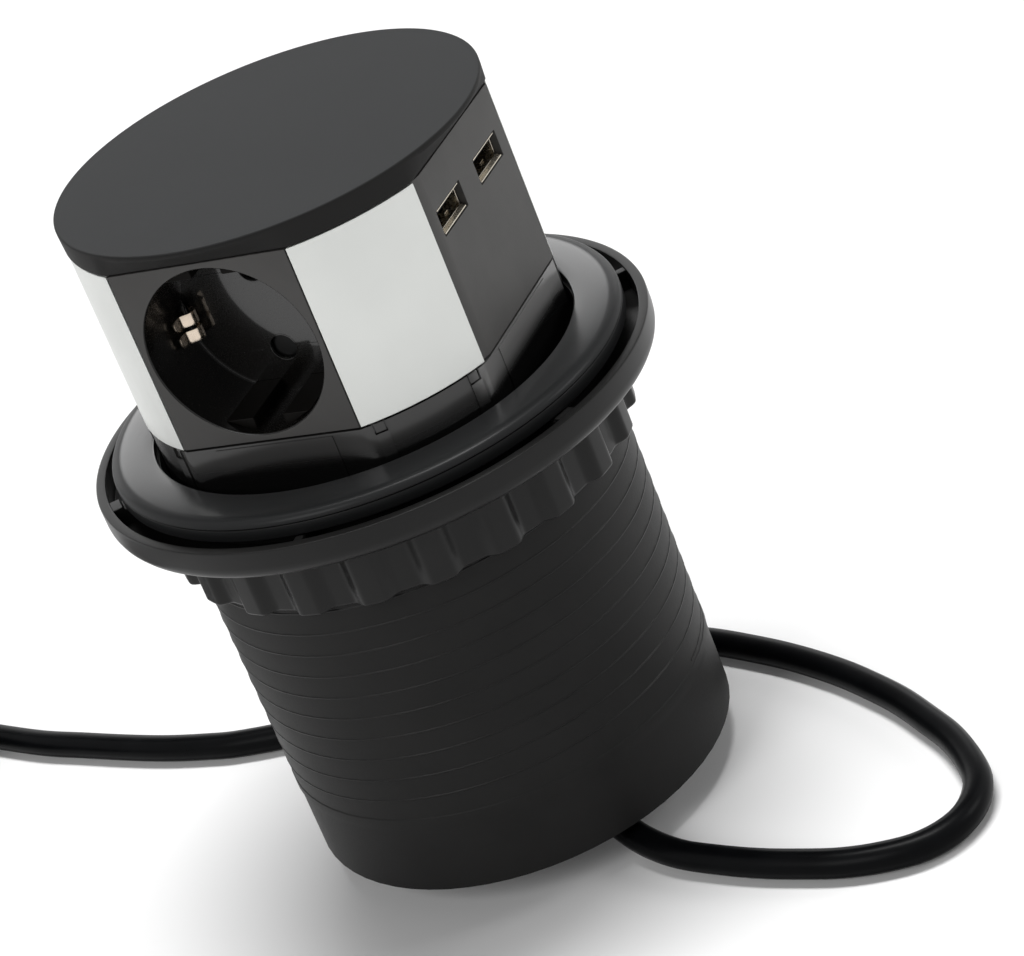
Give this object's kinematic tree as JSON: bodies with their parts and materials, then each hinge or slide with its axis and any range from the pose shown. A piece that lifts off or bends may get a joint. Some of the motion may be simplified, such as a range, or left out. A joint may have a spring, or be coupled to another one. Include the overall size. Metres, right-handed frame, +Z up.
{
  "type": "in-desk power module",
  "caption": "Pull-up desk power tower with earthed sockets and USB ports round a silver and grey head, in a threaded barrel with a trim ring, a scalloped clamp nut and a cord.",
  "frame": {"origin": "on the tower's axis, at the floor under its foot", "axes": "+Z up the tower's axis, -Y out of the first socket, +X out of the USB outlet"},
  "size_m": [0.3931, 0.1992, 0.169],
  "materials": {
    "lid": "fine matte, dark grey",
    "grey": "satin, dark grey",
    "silver": "satin silver",
    "gloss": "glossy, near black",
    "black": "satin, black",
    "metal": "bright plated",
    "brass": "drawn",
    "felt": "felt",
    "board": "charger block",
    "cord": "satin sheath"
  },
  "bodies": {
    "base": {"barrel": "black", "trim_ring": "gloss", "foot": "black", "strain_relief": "cord", "cord": "cord", "cord_coil": "cord", "cord_tie": "felt", "cord_tail": "cord", "plug_body": "black", "plug_pin_1": "metal", "plug_pin_2": "metal", "plug_earth_1": "metal", "plug_earth_2": "metal"},
    "tower": {"lid": "lid", "core": "black", "socket_1": "grey", "earth_spring_1": "metal", "socket_2": "grey", "earth_spring_2": "metal", "socket_3": "grey", "earth_spring_3": "metal", "contact_1": "brass", "contact_2": "brass", "contact_3": "brass", "contact_4": "brass", "contact_5": "brass", "contact_6": "brass", "usb_plate": "grey", "usb_shell_1": "metal", "usb_tongue_1": "black", "usb_shell_2": "metal", "usb_tongue_2": "black", "usb_board": "board", "side_panel_1": "silver", "brake_pad_1": "felt", "side_panel_2": "silver", "brake_pad_2": "felt", "side_panel_3": "silver", "brake_pad_3": "felt", "side_panel_4": "silver", "brake_pad_4": "felt", "neck": "gloss", "tower_base": "black"},
    "nut": {"clamp_nut": "gloss"}
  },
  "joints": [
    {"name": "tower_slide", "type": "slide", "parent": "base", "child": "tower", "axis": [0, 0, 1], "range_m": [-0.056, 0]},
    {"name": "nut_travel", "type": "slide", "parent": "base", "child": "nut", "axis": [0, 0, 1], "range_m": [-0.055, 0]}
  ]
}
